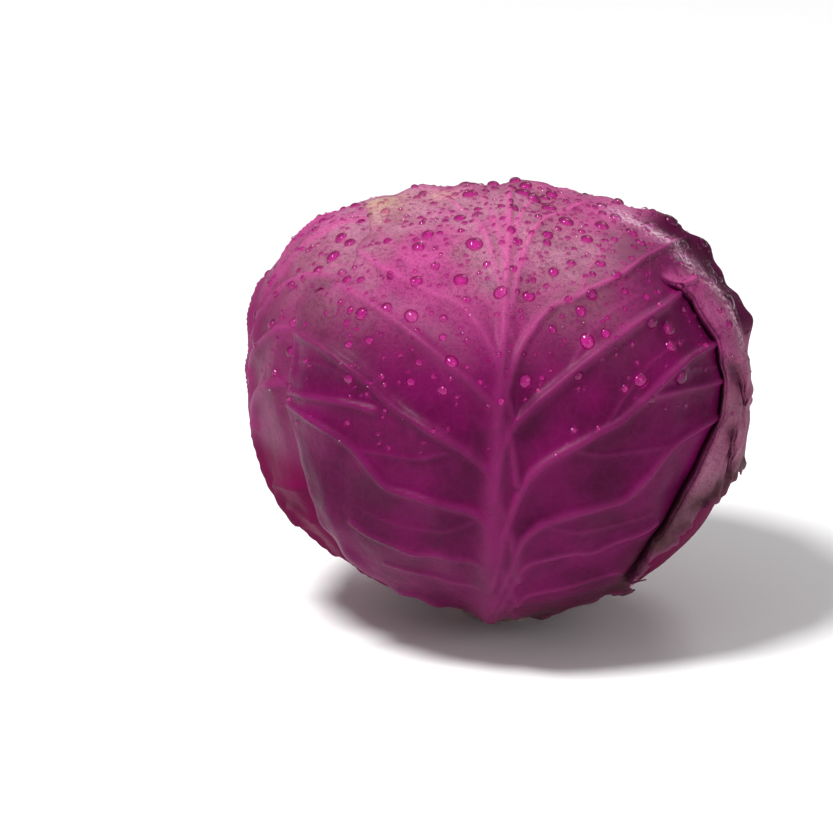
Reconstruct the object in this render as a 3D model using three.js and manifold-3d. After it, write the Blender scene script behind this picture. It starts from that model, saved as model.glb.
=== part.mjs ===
// Red cabbage head: broad leaves wrapped one over another round a tight heart, on a cut stem.
// Millimetres, +Z up. The origin is the centre of the cut stem face that the head stands on, and -Y is its front.

import * as THREE from "three";
import Module from "manifold-3d";
import { mergeVertices } from "three/addons/utils/BufferGeometryUtils.js";

// Driving dimensions
const HEAD_HALF_WIDTH = 83.5;
const HEAD_HALF_DEPTH = 81;
const HEAD_HALF_HEIGHT = 73.5;
const HEAD_CENTRE_Z = 76.3;
const SHOULDER_POWER = 2.4; // a power over 2 makes the upper half squarer than an ellipse
const BASE_POWER = 2.25;
const BULGE = 0.1; // the head's upper left stands out by this share of its radius
const BULGE_TOWARDS = new THREE.Vector3(-0.8, 0, 0.6);
const STEM_RADIUS = 16;
const STEM_HEIGHT = 74;
const BLADE = 1.0; // thickness of a leaf between its veins
const BLADE_AT_MARGIN = 0.6;
const LEAF_GAP = 1.6; // air between one leaf and the next
const STEM_GAP = 1.5; // from the stem to the foot of a leaf
const PLANE_RADIUS = 85; // radius of the sphere that the flat leaf outlines are drawn on
const LEAF_CENTRE_POLAR = rad(100); // from the stem, round the side, to the middle of a leaf
const NEXT_LEAF_TURN = 137.5; // degrees round the stem from one leaf to the next
const CELL = 13; // size of the faces that a leaf is made of
const EDGE_BLEND = 10; // the width of a leaf's thinner margin
const FOOT_END = 120; // from the middle of a leaf down to where its foot clasps the stem
const COVER_MARGIN = 15; // how far past a leaf's edge the leaves above it stay raised
const COVER_FALL = 30; // the distance over which they then come down

function rad(degrees) {
  return (degrees * Math.PI) / 180;
}

function smoothstep(low, high, value) {
  const t = Math.min(1, Math.max(0, (value - low) / (high - low)));
  return t * t * (3 - 2 * t);
}

// The leaves from the outermost inwards, each turned on from the one before it. right, left, top and bottom are
// the reach of the flattened blade from its middle, neck is half the width of its foot, and rib is how far the
// midrib stands out there. The front leaf has smaller faces (cell) and lies looser (lift), and its midrib leans.
const OUTER_LEAF = { right: 100, left: 96, top: 116, bottom: 108, neck: 24, rib: 1.2 };
const INNER_LEAF = { right: 98, left: 95, top: 114, bottom: 108, neck: 24, rib: 0.5 };

// Round bites out of a leaf's outline.
const FRONT_TEAR = { centre: [84, -64], radius: 29 };
const FRONT_BAY = { centre: [-78, 70], radius: 26 };
const LEFT_BAY = { centre: [-140, 60], radius: 118 };

const FRONT_LEAF = {
  right: 120, left: 82, top: 124, bottom: 90, neck: 19, rib: 2.6, cell: 7.5, lean: 0.05, lift: 0.5,
};
const LEAVES = [
  { name: "outer_leaf_front", ...FRONT_LEAF, bites: [FRONT_TEAR, FRONT_BAY] },
  { name: "outer_leaf_back_right", ...OUTER_LEAF, left: 134 },
  { name: "outer_leaf_left", ...OUTER_LEAF, bites: [LEFT_BAY] },
  { name: "second_leaf_front_right", ...INNER_LEAF },
  { name: "second_leaf_back", ...INNER_LEAF },
  { name: "second_leaf_front_left", ...INNER_LEAF },
  { name: "third_leaf_right", ...INNER_LEAF },
  { name: "third_leaf_back_left", ...INNER_LEAF },
  { name: "third_leaf_front", ...INNER_LEAF },
];

// A leaf's outline is a squarish ellipse that runs on into its foot, with a slow ripple along its margin.
const OUTLINE_POWER = 2.2;
const FOOT_BLEND = 14;
const RIPPLE_HEIGHT = 1.6;
const RIPPLE_COUNT = 7;
const RIPPLE_START = -60; // the margin is even below this height of the leaf's plane

// The front leaf's right side is pushed into an upright fold, drawn on its plane from its foot to its tip.
const FOLD_LINE = [
  [45, -75], [55, -62], [61, -43], [67, -30], [74, -15], [84, -3], [86, 8], [93, 19], [90, 33], [64, 65],
];
const FOLD_HEIGHT = 2;
const FOLD_RISE = 4; // half the width of its steep left side
const FOLD_FALL = [8, 34]; // from the line, where its gentle right side starts and ends
const FOLD_FOOT = [-85, -60]; // the heights between which it comes up from nothing
const FOLD_TIP = [50, 80]; // and goes back to nothing

// The front leaf's upper right margin turns out over this part of its plane.
const FLARE_HEIGHT = 4;
const FLARE_WIDTH = 9;
const FLARE_RIGHT = [60, 80];
const FLARE_FOOT = [25, 45];
const FLARE_TIP = [85, 105];

// The direction at a polar angle from the stem and an azimuth from the front, both in radians.
function direction(polar, azimuth) {
  return new THREE.Vector3(
    Math.sin(polar) * Math.sin(azimuth),
    -Math.sin(polar) * Math.cos(azimuth),
    -Math.cos(polar),
  );
}

// Three axes at the middle of a leaf: out of the head, along the midrib to the tip, and to the leaf's right.
function leafAxes(azimuth) {
  return {
    out: direction(LEAF_CENTRE_POLAR, azimuth),
    tip: direction(LEAF_CENTRE_POLAR + Math.PI / 2, azimuth),
    side: new THREE.Vector3(Math.cos(azimuth), Math.sin(azimuth), 0),
  };
}

LEAVES.forEach((leaf, index) => {
  leaf.turn = rad(index * NEXT_LEAF_TURN);
  leaf.axes = leafAxes(leaf.turn);
  leaf.depth = (index + 1) * (BLADE + LEAF_GAP); // the deepest that it can lie below the head's outside
});

// Lambert's equal-area map of the sphere of directions onto the plane of a leaf, and back.
function toPlane(leaf, d) {
  const { out, tip, side } = leaf.axes;
  const scale = PLANE_RADIUS * Math.sqrt(2 / Math.max(1e-6, 1 + d.dot(out)));
  return [scale * d.dot(side), scale * d.dot(tip)];
}

function fromPlane(leaf, x, y) {
  const { out, tip, side } = leaf.axes;
  const u = x / PLANE_RADIUS;
  const v = y / PLANE_RADIUS;
  const squared = Math.min(u * u + v * v, 3.9);
  const spread = Math.sqrt(1 - squared / 4);
  return new THREE.Vector3()
    .addScaledVector(out, 1 - squared / 2)
    .addScaledVector(side, u * spread)
    .addScaledVector(tip, v * spread)
    .normalize();
}

// How far a direction's point lies inside a leaf's edge, in millimetres, and negative outside it.
function insideLeaf(leaf, d) {
  const [x, y] = toPlane(leaf, d);
  const across = Math.abs(x) / (x > 0 ? leaf.right : leaf.left);
  const along = Math.abs(y) / (y > 0 ? leaf.top : leaf.bottom);
  const share = (across ** OUTLINE_POWER + along ** OUTLINE_POWER) ** (1 / OUTLINE_POWER);
  const radius = Math.hypot(x, y);
  const blade = share > 1e-6 ? radius / share - radius : leaf.bottom;
  const foot = Math.min(leaf.neck - Math.abs(x), -y, y + FOOT_END);
  let whole = smoothMax(blade, foot, FOOT_BLEND);
  for (const { centre, radius } of leaf.bites ?? [])
    whole = Math.min(whole, Math.hypot(x - centre[0], y - centre[1]) - radius);
  const ripple = RIPPLE_HEIGHT * Math.sin(RIPPLE_COUNT * Math.atan2(x, y) + leaf.turn);
  const edge = whole + ripple * smoothstep(RIPPLE_START, 0, y);
  if (d.z > 0) return edge;
  return Math.min(edge, Math.hypot(d.x, d.y) * (outerRadius(d) - leaf.depth) - STEM_RADIUS - STEM_GAP);
}

function smoothMax(a, b, blend) {
  const h = Math.max(blend - Math.abs(a - b), 0) / blend;
  return Math.max(a, b) + (h * h * blend) / 4;
}

// The distance from the head's centre to its outside in a direction.
function outerRadius(d) {
  const power = d.z > 0 ? SHOULDER_POWER : BASE_POWER;
  const level = Math.hypot(d.x / HEAD_HALF_WIDTH, d.y / HEAD_HALF_DEPTH);
  const upright = Math.abs(d.z) / HEAD_HALF_HEIGHT;
  const bulge = 1 + BULGE * Math.max(0, d.dot(BULGE_TOWARDS)) ** 3;
  return bulge * (level ** power + upright ** power) ** (-1 / power);
}

// How far a leaf is raised by the leaves from number first inwards that lie under it in this direction.
function stackUnder(first, d) {
  let lift = 0;
  for (const leaf of LEAVES.slice(first)) {
    const cover = smoothstep(-COVER_MARGIN - COVER_FALL, -COVER_MARGIN, insideLeaf(leaf, d));
    lift += cover * (BLADE + LEAF_GAP);
  }
  return lift;
}

// The whole stack's depth at each polar angle: its mean round the head, but its deepest place near the stem, so
// that no leaf hangs below the stem's cut face.
const DEPTH_STEPS = 36;
const FOOT_POLAR = rad(18);
const stackDepth = Array.from({ length: DEPTH_STEPS + 1 }, (_, i) => {
  const polar = Math.max(FOOT_POLAR, (i * Math.PI) / DEPTH_STEPS);
  const lifts = Array.from({ length: 36 }, (_, j) => stackUnder(0, direction(polar, rad(10 * j))));
  const mean = lifts.reduce((sum, lift) => sum + lift, 0) / lifts.length;
  return THREE.MathUtils.lerp(mean, Math.max(...lifts), 1 - smoothstep(rad(35), rad(75), polar));
});

function heartRadius(d) {
  const at = (Math.acos(THREE.MathUtils.clamp(-d.z, -1, 1)) / Math.PI) * DEPTH_STEPS;
  const low = Math.min(DEPTH_STEPS - 1, Math.floor(at));
  const depth = THREE.MathUtils.lerp(stackDepth[low], stackDepth[low + 1], at - low);
  return outerRadius(d) - depth;
}

// The midrib stands out of the leaf's outer face, thickest at its foot.
function ribHeight(leaf, x, y) {
  const along = smoothstep(leaf.top, -leaf.bottom - 20, y);
  const width = 5 + 3 * along;
  return leaf.rib * along * Math.exp(-(((x - (leaf.lean ?? 0) * y) / width) ** 2));
}

// The x of the front leaf's fold at a height y of its plane.
function foldAt(y) {
  const k = Math.max(1, FOLD_LINE.findIndex(([, top]) => top > y));
  const [[x0, y0], [x1, y1]] = [FOLD_LINE[k - 1], FOLD_LINE[k]];
  return x0 + ((x1 - x0) * (y - y0)) / (y1 - y0);
}

// What the front leaf's fold and its turned-out margin add to its outside.
function frontLeafRelief(x, y, depth) {
  const past = x - foldAt(y);
  const fold = smoothstep(-FOLD_RISE, FOLD_RISE, past) * (1 - smoothstep(...FOLD_FALL, past));
  const ends = smoothstep(...FOLD_FOOT, y) * (1 - smoothstep(...FOLD_TIP, y));
  const margin = 1 - smoothstep(0, FLARE_WIDTH, depth);
  const upper = smoothstep(...FLARE_FOOT, y) * (1 - smoothstep(...FLARE_TIP, y));
  const upperRight = upper * smoothstep(...FLARE_RIGHT, x);
  return [FOLD_HEIGHT * fold * ends, FLARE_HEIGHT * margin * upperRight];
}

// A flat grid cut off at the leaf's edge: points in the leaf's plane, and triangles between them.
function cutGrid(leaf, cell) {
  const reach = 2 * PLANE_RADIUS - 8;
  const steps = Math.floor(reach / cell);
  const width = 2 * steps + 1;
  const points = [];
  const inside = [];
  const value = (x, y) => insideLeaf(leaf, fromPlane(leaf, x, y));
  for (let j = -steps; j <= steps; j++)
    for (let i = -steps; i <= steps; i++) {
      const [x, y, depth] = snapToEdge(value, i * cell, j * cell, cell);
      points.push([x, y]);
      inside.push(Math.hypot(x, y) > reach ? -cell : depth);
    }
  const triangles = [];
  const crossings = new Map();
  const crossing = (a, b) => {
    const key = a < b ? `${a},${b}` : `${b},${a}`;
    if (!crossings.has(key)) {
      const share = inside[a] / (inside[a] - inside[b]);
      crossings.set(key, points.length);
      points.push(points[a].map((c, k) => c + (points[b][k] - c) * share));
      inside.push(0);
    }
    return crossings.get(key);
  };
  for (let j = 0; j < width - 1; j++)
    for (let i = 0; i < width - 1; i++) {
      const a = j * width + i;
      const corners = [a, a + 1, a + 1 + width, a + width];
      const flip = (i < steps) !== (j < steps);
      const pair = flip ? [[0, 1, 3], [1, 2, 3]] : [[0, 1, 2], [0, 2, 3]];
      for (const three of pair) triangles.push(...cutTriangle(three.map((k) => corners[k]), inside, crossing));
    }
  return { points, triangles: largestPatch(triangles, value, points) };
}

// A grid point near the edge is moved onto it, so that cutting leaves no slivers.
function snapToEdge(value, x, y, cell) {
  const depth = value(x, y);
  if (Math.abs(depth) > 0.4 * cell) return [x, y, depth];
  const h = 0.5;
  const gx = (value(x + h, y) - value(x - h, y)) / (2 * h);
  const gy = (value(x, y + h) - value(x, y - h)) / (2 * h);
  const squared = gx * gx + gy * gy;
  const step = Math.min(Math.abs(depth) / squared, 0.45 * cell) * Math.sign(depth);
  return [x - gx * step, y - gy * step, 0];
}

function cutTriangle(corners, inside, crossing) {
  const kept = corners.filter((c) => inside[c] >= 0);
  if (kept.length === 3) return [corners];
  if (!kept.some((c) => inside[c] > 0)) return [];
  const polygon = [];
  corners.forEach((c, k) => {
    const next = corners[(k + 1) % 3];
    if (inside[c] >= 0) polygon.push(c);
    if (inside[c] * inside[next] < 0) polygon.push(crossing(c, next));
  });
  return polygon.length < 3 ? [] : polygon.slice(2).map((c, k) => [polygon[0], polygon[k + 1], c]);
}

// Drops triangles that only touch the edge, and patches that share no side with the largest one.
function largestPatch(triangles, value, points) {
  const good = triangles.filter((corners) => {
    const [x, y] = [0, 1].map((k) => corners.reduce((sum, c) => sum + points[c][k], 0) / 3);
    return value(x, y) > 0.05;
  });
  const group = good.map((_, i) => i);
  const find = (i) => {
    while (group[i] !== i) i = group[i];
    return i;
  };
  const owner = new Map();
  good.forEach((corners, i) => {
    corners.forEach((c, k) => {
      const next = corners[(k + 1) % 3];
      const side = c < next ? `${c},${next}` : `${next},${c}`;
      if (owner.has(side)) group[find(i)] = find(owner.get(side));
      else owner.set(side, i);
    });
  });
  const counts = new Map();
  good.forEach((_, i) => counts.set(find(i), (counts.get(find(i)) ?? 0) + 1));
  const largest = [...counts].sort((p, q) => q[1] - p[1])[0][0];
  return good.filter((_, i) => find(i) === largest);
}

// One leaf as a closed shell: an outer face, an inner face, and a thin wall along its edge.
function leafGeometry(index) {
  const leaf = LEAVES[index];
  const { points, triangles } = cutGrid(leaf, leaf.cell ?? CELL);
  const outer = [];
  const inner = [];
  for (const [x, y] of points) {
    const d = fromPlane(leaf, x, y);
    const depth = insideLeaf(leaf, d);
    const [fold, flare] = index === 0 ? frontLeafRelief(x, y, depth) : [0, 0];
    const low = heartRadius(d) + LEAF_GAP + stackUnder(index + 1, d) + (leaf.lift ?? 0) + fold + flare;
    const blade = THREE.MathUtils.lerp(BLADE_AT_MARGIN, BLADE, smoothstep(0, EDGE_BLEND, depth));
    const high = low + blade + ribHeight(leaf, x, y);
    inner.push(d.clone().multiplyScalar(low));
    outer.push(d.clone().multiplyScalar(high));
  }
  const count = points.length;
  const faces = [];
  const edges = new Map();
  for (const [a, b, c] of triangles) {
    faces.push([a, b, c], [a + count, c + count, b + count]);
    for (const [p, q] of [[a, b], [b, c], [c, a]]) {
      if (edges.has(`${q},${p}`)) edges.delete(`${q},${p}`);
      else edges.set(`${p},${q}`, [p, q]);
    }
  }
  for (const [p, q] of edges.values()) faces.push([p, p + count, q + count], [p, q + count, q]);
  return facesGeometry([...outer, ...inner], faces);
}

// Triangles between points about the head's centre, with only the points that are used.
function facesGeometry(points, faces) {
  const used = new Map();
  const positions = [];
  const index = faces.flat().map((v) => {
    if (!used.has(v)) {
      used.set(v, used.size);
      positions.push(points[v].x, points[v].y, points[v].z + HEAD_CENTRE_Z);
    }
    return used.get(v);
  });
  const geometry = new THREE.BufferGeometry();
  geometry.setAttribute("position", new THREE.BufferAttribute(new Float32Array(positions), 3));
  geometry.setIndex(index);
  geometry.computeVertexNormals();
  return geometry;
}

// The tight inner leaves, closed over one another into one ball.
function heartBall() {
  const around = 24;
  const rows = 14;
  const points = [direction(0, 0), direction(Math.PI, 0)];
  for (let j = 1; j < rows; j++)
    for (let i = 0; i < around; i++)
      points.push(direction((j * Math.PI) / rows, (2 * Math.PI * i) / around));
  const at = (j, i) => 2 + (j - 1) * around + (i % around);
  const faces = [];
  for (let i = 0; i < around; i++) {
    faces.push([0, at(1, i + 1), at(1, i)], [1, at(rows - 1, i), at(rows - 1, i + 1)]);
    for (let j = 1; j < rows - 1; j++)
      faces.push([at(j, i), at(j, i + 1), at(j + 1, i + 1)], [at(j, i), at(j + 1, i + 1), at(j + 1, i)]);
  }
  return facesGeometry(points.map((d) => d.multiplyScalar(heartRadius(d))), faces);
}

// The stem is cut flat at the bottom and narrows upwards inside the head. grow adds to it all round.
function stemGeometry(grow) {
  const profile = [
    [0, -grow],
    [STEM_RADIUS - 0.8 + grow, -grow],
    [STEM_RADIUS + grow, 0.8],
    [STEM_RADIUS + 0.4 + grow, 8],
    [STEM_RADIUS - 1 + grow, 22],
    [STEM_RADIUS * 0.72 + grow, 44],
    [STEM_RADIUS * 0.42 + grow, 64],
    [STEM_RADIUS * 0.18 + grow, STEM_HEIGHT - 2],
    [0, STEM_HEIGHT + grow],
  ];
  const lathe = new THREE.LatheGeometry(profile.map(([r, z]) => new THREE.Vector2(r, z)), 28);
  return lathe.rotateX(Math.PI / 2);
}

const wasm = await Module();
wasm.setup();

function solidOf(geometry) {
  const bare = geometry.clone();
  for (const name of ["normal", "uv"]) bare.deleteAttribute(name);
  const merged = mergeVertices(bare, 1e-4);
  return new wasm.Manifold(
    new wasm.Mesh({
      numProp: 3,
      vertProperties: merged.attributes.position.array,
      triVerts: new Uint32Array(merged.index.array),
    }),
  );
}

function geometryOf(solid) {
  const { vertProperties, triVerts } = solid.getMesh();
  const geometry = new THREE.BufferGeometry();
  geometry.setAttribute("position", new THREE.BufferAttribute(vertProperties, 3));
  geometry.setIndex(new THREE.BufferAttribute(triVerts, 1));
  geometry.computeVertexNormals();
  return geometry;
}

const purple = new THREE.MeshStandardMaterial({ color: 0x6e1a50, roughness: 0.42, metalness: 0 });
const pale = new THREE.MeshStandardMaterial({ color: 0xe9e0c8, roughness: 0.6, metalness: 0 });

function named(name, geometry, material) {
  const mesh = new THREE.Mesh(geometry, material);
  mesh.name = name;
  return mesh;
}

const head = new THREE.Group();
head.add(named("stem", stemGeometry(0), pale));
head.add(named("heart", geometryOf(solidOf(heartBall()).subtract(solidOf(stemGeometry(0.5)))), purple));
LEAVES.forEach((leaf, index) => head.add(named(leaf.name, leafGeometry(index), purple)));

export default head;
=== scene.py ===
"""Red cabbage head: waxy purple leaves wrapped over one another on a cut stem, with water drops on top.

Leaf shapes are worked out in the CAD model's own millimetres, about the head's centre, and turned into
metres when a mesh is made. Each leaf is drawn on a flat plane (x to its right, y to its tip) that is wrapped
round the head.
"""

import math

import bpy
import numpy as np
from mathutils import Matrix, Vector
from mathutils.bvhtree import BVHTree


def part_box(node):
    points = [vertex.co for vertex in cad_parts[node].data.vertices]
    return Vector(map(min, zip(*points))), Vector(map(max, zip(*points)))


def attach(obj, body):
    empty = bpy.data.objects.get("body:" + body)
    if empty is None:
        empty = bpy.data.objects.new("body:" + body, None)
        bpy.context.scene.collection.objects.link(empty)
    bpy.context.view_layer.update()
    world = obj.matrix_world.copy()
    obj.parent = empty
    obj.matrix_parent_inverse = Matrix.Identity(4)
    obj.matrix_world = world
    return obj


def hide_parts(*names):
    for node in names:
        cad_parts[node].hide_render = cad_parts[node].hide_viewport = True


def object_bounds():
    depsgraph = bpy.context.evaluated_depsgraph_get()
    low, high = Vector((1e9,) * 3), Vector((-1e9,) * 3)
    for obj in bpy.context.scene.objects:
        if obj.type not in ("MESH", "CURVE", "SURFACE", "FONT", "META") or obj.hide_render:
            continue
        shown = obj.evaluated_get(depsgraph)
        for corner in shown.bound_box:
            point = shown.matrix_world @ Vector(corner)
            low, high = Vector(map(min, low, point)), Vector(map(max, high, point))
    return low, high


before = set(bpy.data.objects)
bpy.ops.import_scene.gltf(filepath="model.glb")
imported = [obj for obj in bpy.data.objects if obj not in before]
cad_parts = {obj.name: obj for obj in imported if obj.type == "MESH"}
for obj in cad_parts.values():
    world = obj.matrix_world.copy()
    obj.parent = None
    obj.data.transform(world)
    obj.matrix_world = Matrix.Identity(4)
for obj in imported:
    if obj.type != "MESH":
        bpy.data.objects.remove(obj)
CAD_LOW, CAD_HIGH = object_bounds()

# The head, in the CAD model's millimetres.
MODEL_HEIGHT = 152.86
MM = (CAD_HIGH.z - CAD_LOW.z) / MODEL_HEIGHT  # metres in one of them
HEAD_HALF_WIDTH = 83.5
HEAD_HALF_DEPTH = 81.0
HEAD_HALF_HEIGHT = 73.5
HEAD_CENTRE_Z = 76.3
SHOULDER_POWER = 2.4
BASE_POWER = 2.25
BULGE = 0.1
BULGE_TOWARDS = np.array([-0.8, 0.0, 0.6])
STEM_RADIUS = 16.0

# The leaves, in the same millimetres.
BLADE = 0.9
BLADE_AT_MARGIN = 0.45
LEAF_GAP = 0.5
STEM_GAP = 0.4
RELIEF_ROOM = 3.4  # veins, folds and swellings stand out of a surface this far inside the head's outside
PLANE_RADIUS = 85.0
PLANE_MOST = 3.9  # the largest squared distance that wraps, in plane radii: 4 is the far side of the head
LEAF_CENTRE_POLAR = math.radians(100)
NEXT_LEAF_TURN = math.radians(137.5)
OUTLINE_POWER = 2.2  # 2 is an oval, and more is squarer
FOOT_BLEND = 14.0
RIPPLES = 7
RIPPLE_HEIGHT = 1.6
RIPPLE_UNEVENNESS = 1.1
RAGGED_SIZE = 1.2
RAGGED_FINE_SIZE = 0.5
FRONT_CURL = 0.9  # how far a leaf's margin lifts
CURL = 0.4
TORN_LIFT = 1.0
SWELL_HEIGHT = 0.5  # the blade's broad swellings
SWELL_FINE_HEIGHT = 0.22
TUCK_UNDER_FOLD = 1.6  # how far the leaves below sink under the front leaf's groove
COVERED_RELIEF = 0.15  # the share of its veins' height that a leaf keeps under another
FOOT_END = 122.0
REACH = 162.0
COVER_MARGIN = 1.0  # how far past a leaf's edge the leaves above it stay raised
COVER_FALL = 9.0
STACK_BOTTOM = math.radians(18)  # nearer the stem than this, the stack is taken to be as deep as it is here
QUICK = 1.0

# Round bites out of a leaf's outline: the centre's x and y, and the radius.
FRONT_TEAR = (97.0, -70.0, 42.0)
FRONT_BAY = (-78.0, 70.0, 26.0)
LEFT_BAY = (-140.0, 60.0, 118.0)

# A leaf reaches right, left, top and bottom from its plane's centre. Its foot is a neck of that half width.
# Its mesh has square cells, its midrib (rib) stands out, and its blade is lifted off the leaf below.
FRONT_LEAF = {
    "right": 120, "left": 82, "top": 124, "bottom": 90, "neck": 19,
    "cell": 0.9, "rib": 3.0, "lift": 1.4,
}
OUTER_LEAF = {
    "right": 100, "left": 96, "top": 116, "bottom": 108, "neck": 24,
    "cell": 1.3, "rib": 2.4, "lift": 0.3,
}
INNER_LEAF = {
    "right": 98, "left": 95, "top": 114, "bottom": 108, "neck": 24,
    "cell": 1.7, "rib": 1.6, "lift": 0.0,
}
THIRD_LEAF = {**INNER_LEAF, "cell": 3.0}
LEAVES = [
    {"name": "outer_leaf_front", **FRONT_LEAF, "bites": (FRONT_TEAR, FRONT_BAY)},
    {"name": "outer_leaf_back_right", **OUTER_LEAF, "left": 134},
    {"name": "outer_leaf_left", **OUTER_LEAF, "bites": (LEFT_BAY,)},
    {"name": "second_leaf_front_right", **INNER_LEAF},
    {"name": "second_leaf_back", **INNER_LEAF},
    {"name": "second_leaf_front_left", **INNER_LEAF},
    {"name": "third_leaf_right", **THIRD_LEAF},
    {"name": "third_leaf_back_left", **THIRD_LEAF},
    {"name": "third_leaf_front", **THIRD_LEAF},
]

# The side veins on the right of a midrib: each one's path on the leaf's plane, and its width and height at
# the root.
SIDE_VEINS = [
    ([(-5, -96), (6, -71), (14, -67), (22, -66), (34, -64), (46, -62)], 1.8, 0.6),
    (
        [(-5, -88), (3, -59), (7, -50), (16, -47), (24, -46), (32, -47), (40, -44), (49, -41), (56, -37)],
        2.1, 1.0,
    ),
    (
        [(-5, -76), (2, -51), (5, -40), (11, -34), (20, -31), (34, -28), (42, -26), (48, -20), (58, -9),
         (70, -3), (84, 1)],
        2.4, 1.3,
    ),
    (
        [(-5, -60), (-1, -38), (5, -21), (10, -14), (18, -8), (33, 0), (40, 4), (53, 15), (68, 24),
         (84, 29)],
        2.7, 1.6,
    ),
    ([(46, 10), (56, 12), (70, 13), (86, 14)], 1.9, 1.0),
    ([(-4, -24), (0, -2), (9, 9), (16, 15), (30, 26), (45, 36), (62, 45), (74, 54)], 2.6, 1.5),
    ([(-3, 2), (3, 24), (10, 37), (17, 44), (25, 47), (42, 55), (56, 64), (76, 74), (88, 79)], 2.3, 1.2),
    ([(-2, 28), (2, 44), (7, 66), (15, 82), (28, 94), (42, 102)], 1.9, 0.8),
    ([(0, 60), (5, 80), (10, 97), (17, 110)], 1.6, 0.6),
]
FORKS = [  # the thinner veins that leave them
    ([(22, -6), (34, -9), (47, -8), (58, -7), (70, -3)], 1.2, 0.5),
    ([(12, -33), (26, -38), (40, -37), (54, -33)], 1.1, 0.4),
    ([(33, 0), (41, 12), (50, 22), (63, 30)], 1.1, 0.4),
    ([(20, 18), (28, 32), (38, 42), (50, 48)], 1.1, 0.4),
    ([(25, 47), (34, 62), (46, 74), (58, 83)], 1.1, 0.4),
    ([(53, 15), (62, 19), (74, 20), (84, 20)], 1.0, 0.4),
]
VEIN_WIDTH = 0.8  # these two scale every width and height above
VEIN_RISE = 1.3
VEIN_WIDTH_AT_END = 0.6  # these two are shares of a vein's width and height at its root
VEIN_RISE_AT_END = 0.75
LEFT_VEIN_STRENGTH = 0.7
FORK_STRENGTH = 0.5
MIDRIB_LEAN = 0.05
MIDRIB_SHIFT = -2.5
MIDRIB_AT_TIP = 1.5
MIDRIB_AT_FOOT = 7.5
CREST_REACH = 8.5  # a vein runs along a broad crest that fades over this distance
MIDRIB_CREST_REACH = 10.0

# The front leaf's folds, on its plane. Each fades in and out between the four values of y in its span, and
# its left side overhangs a groove.
MAIN_FOLD = {
    "line": [
        (50, -68), (53, -57), (57, -44), (66, -32), (73, -20), (79, -8),
        (83, 1), (86, 8), (87, 16), (83, 30), (74, 46), (60, 56),
    ],
    "height": 3.5, "overhang": 5.2, "groove": 2.2, "reach": 34, "span": (-74, -62, 48, 58),
}
SMALL_FOLDS = [
    {
        "line": [(96, 1), (94, 10), (91, 18), (88, 24)],
        "height": 2.0, "overhang": 3.2, "groove": 1.5, "reach": 10, "span": (0, 5, 19, 25),
    },
    {
        "line": [(87, -24), (87, -12), (86, -1)],
        "height": 1.9, "overhang": 3.0, "groove": 1.5, "reach": 10, "span": (-26, -20, -6, 0),
    },
    {
        "line": [(70, -42), (72, -35), (77, -26)],
        "height": 0.9, "overhang": 1.8, "groove": 0.6, "reach": 7, "span": (-42, -38, -32, -28),
    },
]
WRINKLE_HEIGHT = 0.9
# a whitish line of wax along the upper right, partly a painted sheen
FROST_AND_SHEEN_LINE = [(54, 95), (64, 85), (70, 77), (76, 69), (81, 61), (87, 54), (94, 47), (97, 40), (98, 31)]
FROST_AND_SHEEN_WIDTH = 4.8
FLARE_HEIGHT = 4.0
FLARE_WIDTH = 11.0
FLARE_SPAN = (22, 40, 88, 106)  # the values of y between which it fades in and out
GREEN_SPOTS = [(-58, 84, 8), (-52, 94, 10), (-30, 104, 7)]  # x, y and radius of paler greenish places

# The wax bloom, partly painted light on the top, starts and is thickest at these heights above the table.
BLOOM_START = 102
BLOOM_FULL = 150
# the wrinkled band's pale bloom is partly a painted sheen
BLOOM_AND_SHEEN_ON_BAND = 0.8  # on the wrinkled band beside the main fold, at any height

# The stem's radius and height from the cut face up. It ends in a point at the top of its CAD box.
STEM_PROFILE = [
    (5, 0), (10, 0), (14.4, 0), (15.3, 0.25), (15.7, 0.9), (15.8, 3),
    (16, 8), (15, 22), (11.5, 44), (6.7, 64),
]
STEM_SIDES = 72

# Water drops
DROP_SEED = 11
DROP_KINDS = [  # how many, least and most radius, and how many rings and sides their beads have
    (170, 1.4, 3.0, 7, 18),
    (460, 0.75, 1.4, 5, 12),
    (1300, 0.32, 0.75, 3, 8),
    (1500, 0.15, 0.32, 2, 6),
]
DROP_TRIES = 40  # places tried for each drop
DROP_LOWEST = -0.02  # how far up the head drops start, where 0 is its middle and 1 its crown
DROP_SHARE_LOW = 0.01  # how thick they are there, against 1 on the crown
DROP_SPACING = 1.15  # from middle to middle, in their radii added together
LEAVES_THAT_HOLD_DROPS = 4
DROP_START = 0.2  # metres out from the head's centre, where each drop starts its fall to the surface
DROP_EDGE_SLOPE = math.radians(112)  # past 90 degrees a bead's side turns back in under it
WET_FROM = 0.45  # the radius of the smallest drop that wets the bloom under it

# Colours, from 0 to 255
# margin: the thin edge's own paler colour, partly a painted highlight along it
FRONT_LOOK = {
    "blade": (104, 4, 72), "deep": (78, 0, 52), "bloom_most": 0.9,
    "margin": (130, 46, 96), "margin_and_edge_highlight_share": 0.4,
}
OUTER_LOOK = {
    "blade": (116, 28, 82), "deep": (98, 14, 66), "bloom_most": 0.85,
    "margin": (216, 168, 190), "margin_and_edge_highlight_share": 0.85,
}
SHELTERED_LOOK = {
    "blade": (128, 10, 80), "deep": (112, 6, 68), "bloom_most": 0.3,
    "margin": (140, 36, 100), "margin_and_edge_highlight_share": 0.4,
}
NET = (150, 50, 115)
DARK_PATCH = (60, 2, 40)
BLOOM_PINK = (186, 74, 138)
BLOOM_BROWN = (160, 98, 122)
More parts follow.
